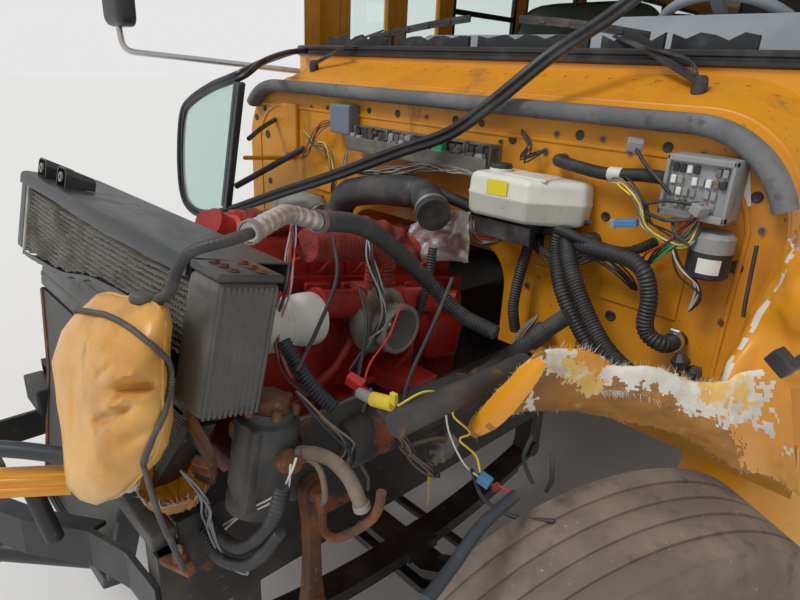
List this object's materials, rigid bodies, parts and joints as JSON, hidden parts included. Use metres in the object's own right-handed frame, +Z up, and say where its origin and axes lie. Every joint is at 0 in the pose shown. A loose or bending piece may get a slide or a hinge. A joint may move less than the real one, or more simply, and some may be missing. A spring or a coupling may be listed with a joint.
{
  "type": "school bus",
  "caption": "Crashed school bus with a conventional front: bare engine bay, folded bumper, torn fender, steered front wheels, benches, opening doors and a folding stop sign.",
  "frame": {"origin": "on the ground, at the middle of the overall box's length and width", "axes": "+X to the bus's left, +Y to its rear, +Z up"},
  "size_m": [3.3, 10.6, 3.115],
  "materials": {
    "body_yellow": "satin, faded, crash-scuffed",
    "guard_black": "satin black",
    "window_frame": "satin black",
    "glass": "clear with a green tint",
    "hatch_white": "weathered",
    "floor_dark": "ribbed rubber over steel",
    "bench_vinyl": "dark green vinyl on foam",
    "driver_vinyl": "grey-black vinyl on foam",
    "dash_grey": "moulded",
    "chassis_black": "dusty chassis black with rust",
    "axle_steel": "dusty",
    "tank_steel": "satin",
    "exhaust_steel": "rusty",
    "tyre": "worn and dusty",
    "wheel_paint": "chipped",
    "seal_grey": "weathered foam rubber",
    "gasket": "soft black",
    "alloy_core": "finned, bent",
    "radiator_metal": "dusty black with rust",
    "duct_white": "moulded",
    "amber_plastic": "translucent, dented",
    "engine_red": "oily",
    "cast_grey": "heat-stained",
    "gear_steel": "black with rust",
    "hose_rubber": "corrugated",
    "unit_black": "moulded",
    "reservoir_white": "translucent white",
    "mirror_black": "satin",
    "sign_red": "reflective, blank",
    "lamp_red": "ribbed lens",
    "lamp_amber": "ribbed lens",
    "door_glass": "clear"
  },
  "bodies": {
    "bus_body": {"roof_shell": "body_yellow", "side_wall_left": "body_yellow", "side_wall_right": "body_yellow", "window_posts": "body_yellow", "front_pillars": "body_yellow", "rear_wall": "body_yellow", "rub_rails": "guard_black", "window_frames": "window_frame", "window_glass": "glass", "roof_hatches": "hatch_white", "floor": "floor_dark", "entrance_steps": "floor_dark", "bench_seats": "bench_vinyl", "driver_seat": "driver_vinyl", "dashboard": "dash_grey", "frame": "chassis_black", "front_axle": "axle_steel", "leaf_springs": "axle_steel", "driveline": "axle_steel", "fuel_tank": "tank_steel", "exhaust": "exhaust_steel", "bumpers": "guard_black", "cowl": "body_yellow", "toe_boards": "body_yellow", "hood_seal": "seal_grey", "windscreen_gasket": "gasket", "torn_panels": "body_yellow", "corner_pane": "glass", "charge_cooler": "alloy_core", "radiator": "radiator_metal", "air_duct": "duct_white", "coolant_tank": "amber_plastic", "engine": "engine_red", "turbo": "cast_grey", "steering_gear": "gear_steel", "firewall_units": "unit_black", "washer_reservoir": "reservoir_white", "heater_hoses": "hose_rubber", "air_cleaner": "unit_black", "mirrors": "mirror_black", "lamps_red": "lamp_red", "lamps_amber": "lamp_amber"},
    "knuckle_left_body": {"knuckle_left": "axle_steel"},
    "knuckle_right_body": {"knuckle_right": "axle_steel"},
    "front_wheel_left": {"tyre_front_left": "tyre", "wheel_front_left": "wheel_paint"},
    "front_wheel_right": {"tyre_front_right": "tyre", "wheel_front_right": "wheel_paint"},
    "tie_rod_body": {"tie_rod": "axle_steel"},
    "rear_wheels_left": {"tyres_rear_left": "tyre", "wheels_rear_left": "wheel_paint"},
    "rear_wheels_right": {"tyres_rear_right": "tyre", "wheels_rear_right": "wheel_paint"},
    "entrance_leaf_front": {"entrance_door_front": "body_yellow", "entrance_glass_front": "door_glass"},
    "entrance_leaf_rear": {"entrance_door_rear": "body_yellow", "entrance_glass_rear": "door_glass"},
    "emergency_exit": {"emergency_door": "body_yellow", "emergency_glass": "door_glass"},
    "stop_sign_arm": {"stop_arm": "sign_red"}
  },
  "joints": [
    {"name": "steer_left", "type": "hinge", "parent": "bus_body", "child": "knuckle_left_body", "pos_m": [0.882, -4.341, 0.515], "axis": [0, 0, 1], "range_deg": [-17, 63]},
    {"name": "steer_right", "type": "hinge", "parent": "bus_body", "child": "knuckle_right_body", "pos_m": [-0.882, -4.341, 0.515], "axis": [0, 0, 1], "range_deg": [-17, 63]},
    {"name": "tie_rod_pivot", "type": "hinge", "parent": "knuckle_left_body", "child": "tie_rod_body", "pos_m": [0.96015, -4.1569, 0.37], "axis": [0, 0, 1], "range_deg": [-63, 17]},
    {"name": "front_left_spin", "type": "hinge", "parent": "knuckle_left_body", "child": "front_wheel_left", "pos_m": [1.02008, -4.39961, 0.5263], "axis": [0.917, -0.3892, -0.0872], "continuous": true},
    {"name": "front_right_spin", "type": "hinge", "parent": "knuckle_right_body", "child": "front_wheel_right", "pos_m": [-1.02008, -4.28239, 0.52], "axis": [-0.9205, 0.3907, 0], "continuous": true},
    {"name": "rear_left_spin", "type": "hinge", "parent": "bus_body", "child": "rear_wheels_left", "pos_m": [0.9, 1.959, 0.52], "axis": [1, 0, 0], "continuous": true},
    {"name": "rear_right_spin", "type": "hinge", "parent": "bus_body", "child": "rear_wheels_right", "pos_m": [-0.9, 1.959, 0.52], "axis": [1, 0, 0], "continuous": true},
    {"name": "entrance_front_hinge", "type": "hinge", "parent": "bus_body", "child": "entrance_leaf_front", "pos_m": [-1.218, -3.384, 1.4], "axis": [0, 0, 1], "range_deg": [0, 88]},
    {"name": "entrance_rear_hinge", "type": "hinge", "parent": "bus_body", "child": "entrance_leaf_rear", "pos_m": [-1.218, -2.616, 1.4], "axis": [0, 0, -1], "range_deg": [0, 88]},
    {"name": "emergency_hinge", "type": "hinge", "parent": "bus_body", "child": "emergency_exit", "pos_m": [-0.464, 5.178, 1.77], "axis": [0, 0, 1], "range_deg": [0, 110]},
    {"name": "stop_arm_hinge", "type": "hinge", "parent": "bus_body", "child": "stop_sign_arm", "pos_m": [1.25, -3.13, 1.4], "axis": [0, 0, -1], "range_deg": [0, 90]}
  ],
  "couplings": [
    {"joint": "steer_right", "follows": "steer_left", "ratio": 1},
    {"joint": "tie_rod_pivot", "follows": "steer_left", "ratio": -1},
    {"joint": "entrance_rear_hinge", "follows": "entrance_front_hinge", "ratio": 1}
  ]
}
